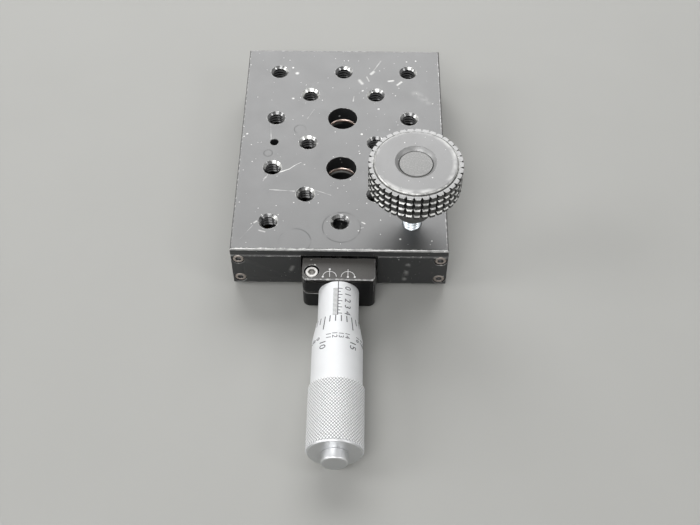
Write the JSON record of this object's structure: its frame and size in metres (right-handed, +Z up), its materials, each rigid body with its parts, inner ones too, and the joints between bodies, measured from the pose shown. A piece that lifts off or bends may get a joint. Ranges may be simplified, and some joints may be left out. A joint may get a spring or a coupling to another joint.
{
  "type": "linear translation stage",
  "caption": "Compact linear translation stage: drilled black deck on ball ways over a fixed base, moved by a micrometer head in a clamp block, with a knurled thumbscrew in one deck hole.",
  "frame": {"origin": "underside of the fixed base, below the centre of the deck's hole grid at the modelled reading", "axes": "+Z up out of the deck, -Y towards the micrometer and the user, +X to the user's right"},
  "size_m": [0.0793, 0.1769, 0.0529],
  "materials": {
    "black_anodised": "black anodised, satin, with fine scratches and bright worn edges",
    "knob_black": "black anodised, satin, tooth edges slightly worn",
    "satin_chrome": "satin chrome plate",
    "bearing_steel": "hardened and ground",
    "screw_steel": "plain alloy steel, bright socket edge",
    "bronzed_steel": "brown-black oxide with bright rubbed rim",
    "zinc_steel": "bright zinc plate",
    "spring_steel": "drawn wire",
    "brass": "machined"
  },
  "bodies": {
    "base": {"base_body": "black_anodised", "clamp_block": "black_anodised", "clamp_block_screws": "screw_steel", "base_rods": "bearing_steel", "base_spring_posts": "screw_steel", "micrometer_stem": "bearing_steel", "graduated_sleeve": "satin_chrome", "adjusting_nut": "brass", "return_spring_left": "spring_steel", "return_spring_right": "spring_steel"},
    "carriage": {"carriage_body": "black_anodised", "front_cover_left": "black_anodised", "front_cover_right": "black_anodised", "rear_cover": "black_anodised", "front_cover_screws": "bronzed_steel", "rear_cover_screws": "bronzed_steel", "carriage_rods_left": "bearing_steel", "carriage_rods_right": "bearing_steel", "carriage_spring_posts": "screw_steel", "push_pad": "bearing_steel"},
    "ball_cage_left": {"ball_cage_left": "brass", "bearing_balls_left": "bearing_steel"},
    "ball_cage_right": {"ball_cage_right": "brass", "bearing_balls_right": "bearing_steel"},
    "micrometer_feed": {"spindle_tip": "bearing_steel"},
    "thimble": {"spindle": "bearing_steel", "thimble": "satin_chrome", "thimble_cap": "satin_chrome"},
    "clamp_screw": {"clamp_screw": "screw_steel"},
    "thumbscrew_lift": {"knob_plug": "knob_black"},
    "thumbscrew": {"thumbscrew_stud": "zinc_steel", "thumbscrew_knob": "knob_black"}
  },
  "joints": [
    {"name": "carriage_travel", "type": "slide", "parent": "base", "child": "carriage", "axis": [0, 1, 0], "range_m": [-0.01429, 0.01111], "deforming": ["return_spring_left", "return_spring_right"]},
    {"name": "ball_cage_left_travel", "type": "slide", "parent": "base", "child": "ball_cage_left", "axis": [0, 1, 0], "range_m": [-0.00715, 0.00556]},
    {"name": "ball_cage_right_travel", "type": "slide", "parent": "base", "child": "ball_cage_right", "axis": [0, 1, 0], "range_m": [-0.00715, 0.00556]},
    {"name": "micrometer_feed", "type": "slide", "parent": "base", "child": "micrometer_feed", "axis": [0, 1, 0], "range_m": [-0.0143, 0.01112]},
    {"name": "thimble_turn", "type": "hinge", "parent": "micrometer_feed", "child": "thimble", "pos_m": [0, -0.09, 0.0101], "axis": [0, 1, 0], "range_deg": [-8105, 6302]},
    {"name": "clamp_screw_turn", "type": "hinge", "parent": "base", "child": "clamp_screw", "pos_m": [-0.0094, -0.0569, 0.012], "axis": [0, 0, 1], "range_deg": [0, 360]},
    {"name": "thumbscrew_lift", "type": "slide", "parent": "carriage", "child": "thumbscrew_lift", "axis": [0, 0, 1], "range_m": [0, 0.00762]},
    {"name": "thumbscrew_turn", "type": "hinge", "parent": "thumbscrew_lift", "child": "thumbscrew", "pos_m": [0.0254, -0.0381, 0.04], "axis": [0, 0, 1], "range_deg": [0, 2161]}
  ],
  "couplings": [
    {"joint": "ball_cage_left_travel", "follows": "carriage_travel", "ratio": 0.5},
    {"joint": "ball_cage_right_travel", "follows": "carriage_travel", "ratio": 0.5},
    {"joint": "micrometer_feed", "follows": "carriage_travel", "ratio": 1},
    {"joint": "thimble_turn", "follows": "carriage_travel", "rad_per_m": 9894.8},
    {"joint": "thumbscrew_turn", "follows": "thumbscrew_lift", "rad_per_m": 4947.4}
  ]
}
